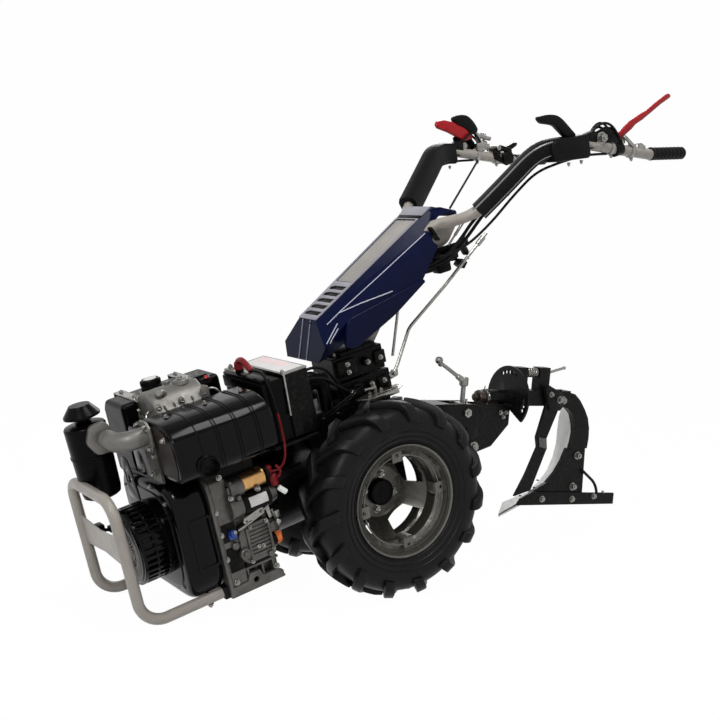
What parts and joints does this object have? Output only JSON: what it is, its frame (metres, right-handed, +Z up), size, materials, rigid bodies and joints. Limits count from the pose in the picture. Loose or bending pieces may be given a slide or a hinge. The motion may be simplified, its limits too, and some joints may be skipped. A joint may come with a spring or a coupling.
{
  "type": "two-wheel walking tractor with a plough",
  "caption": "Walk-behind diesel tractor on lugged tyres, with swinging handlebars and a turning mounted plough, parked nose-down on its bumper.",
  "frame": {"origin": "on the ground, at the centre of the overall box", "axes": "+X forward to the engine, +Y to the machine's left, +Z up; the machine stands nose-down on both wheels and its front bumper"},
  "size_m": [1.978, 0.7176, 1.5169],
  "materials": {
    "tyre": "matt rubber",
    "wheel_silver": "silver-grey wheel paint",
    "hub_black": "satin black paint",
    "casting_black": "black painted casting",
    "engine_iron": "raw die casting",
    "cast_aluminium": "raw sand casting",
    "shroud_black": "gloss black pressed sheet",
    "tank_black": "gloss black moulding",
    "zinc_plate": "zinc plated",
    "starter_gold": "yellow passivated steel",
    "orange_plastic": "moulded",
    "grey_tube": "warm grey paint",
    "hood_navy": "gloss navy moulding",
    "cover_plastic": "matt black moulding",
    "grip_rubber": "soft black rubber",
    "lever_red": "red moulding",
    "plough_black": "satin black paint",
    "mould_white": "white-grey paint"
  },
  "bodies": {
    "chassis": {"air_cleaner": "tank_black", "air_cleaner_cap": "tank_black", "battery": "tank_black", "battery_clamp": "zinc_plate", "battery_lead": "lever_red", "battery_tray": "casting_black", "breather_hose": "grip_rubber", "clutch_cables": "zinc_plate", "coupling": "casting_black", "cylinder_head": "cast_aluminium", "depth_crank": "zinc_plate", "engine_block": "engine_iron", "fan_shroud": "shroud_black", "front_bumper": "grey_tube", "fuel_cap": "tank_black", "fuel_tank": "tank_black", "hitch_bracket": "casting_black", "injection_pump": "cast_aluminium", "intake_elbow": "cast_aluminium", "muffler": "shroud_black", "oil_filler_cap": "orange_plastic", "port_plate": "cast_aluminium", "recoil_starter": "casting_black", "shift_plate": "zinc_plate", "starter_motor": "casting_black", "starter_solenoid": "starter_gold", "tank_straps": "zinc_plate", "transmission_case": "casting_black", "turret_base": "casting_black", "turret_cables": "grip_rubber"},
    "wheel_left": {"tyre_left": "tyre", "rim_left": "wheel_silver", "hub_left": "hub_black"},
    "wheel_right": {"tyre_right": "tyre", "rim_right": "wheel_silver", "hub_right": "hub_black"},
    "handlebars": {"turret_head": "casting_black", "steering_column": "grey_tube", "hood": "hood_navy", "handlebar_left": "grey_tube", "handlebar_right": "grey_tube", "cover_left": "cover_plastic", "cover_right": "cover_plastic", "grip_left": "grip_rubber", "grip_right": "grip_rubber", "hand_lever_left": "lever_red", "hand_lever_right": "lever_red", "shift_rods": "zinc_plate", "handle_cables": "grip_rubber", "thumb_levers": "grip_rubber", "key_switch": "casting_black"},
    "plough": {"plough_shaft": "zinc_plate", "plough_beam": "plough_black", "lock_pin": "zinc_plate", "coulter": "plough_black", "frog": "plough_black", "landside": "plough_black", "share": "plough_black", "mouldboard": "mould_white", "brace_rod": "plough_black"}
  },
  "joints": [
    {"name": "wheel_left_spin", "type": "hinge", "parent": "chassis", "child": "wheel_left", "pos_m": [0.12142, 0.233, 0.295], "axis": [0, 1, 0], "continuous": true},
    {"name": "wheel_right_spin", "type": "hinge", "parent": "chassis", "child": "wheel_right", "pos_m": [0.12142, -0.233, 0.295], "axis": [0, 1, 0], "continuous": true},
    {"name": "handlebar_swing", "type": "hinge", "parent": "chassis", "child": "handlebars", "pos_m": [0.13388, 0, 0.63026], "axis": [0.2596, 0, 0.9657], "range_deg": [-30, 30]},
    {"name": "plough_turn", "type": "hinge", "parent": "chassis", "child": "plough", "pos_m": [-0.49195, 0, 0.52097], "axis": [0.998, 0, 0.0637], "range_deg": [-90, 90]}
  ]
}
